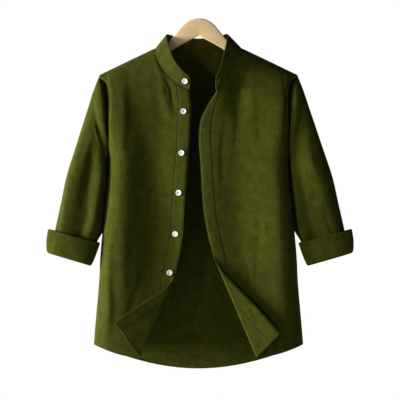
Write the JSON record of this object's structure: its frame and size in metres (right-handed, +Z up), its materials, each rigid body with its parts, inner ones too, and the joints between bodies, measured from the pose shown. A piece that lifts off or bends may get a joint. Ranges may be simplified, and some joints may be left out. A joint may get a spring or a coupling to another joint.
{
  "type": "band collar shirt on a wooden hanger",
  "caption": "Long-sleeve shirt with a band collar, worn open, hung on a plain wooden hanger, its front corners turned out and its sleeves rolled.",
  "frame": {"origin": "centre of the hook socket's mouth, on top of the hanger's crown, from which the hanger hangs", "axes": "+Z up; the shirt's front faces -Y; the wearer's right is at -X"},
  "size_m": [0.714, 0.1245, 0.815],
  "materials": {
    "cloth": "matt olive woven cotton and linen",
    "buttons": "white, softly glossy",
    "wood": "pale beech, satin lacquer"
  },
  "bodies": {
    "root": {"back": "cloth", "yoke": "cloth", "front_right": "cloth", "front_left": "cloth", "placket_right": "cloth", "placket_left": "cloth", "sleeve_right": "cloth", "sleeve_left": "cloth", "turn_up_right": "cloth", "turn_up_left": "cloth", "collar": "cloth", "button_1": "buttons", "button_2": "buttons", "button_3": "buttons", "button_4": "buttons", "button_5": "buttons", "button_collar": "buttons", "hanger": "wood"}
  },
  "joints": []
}
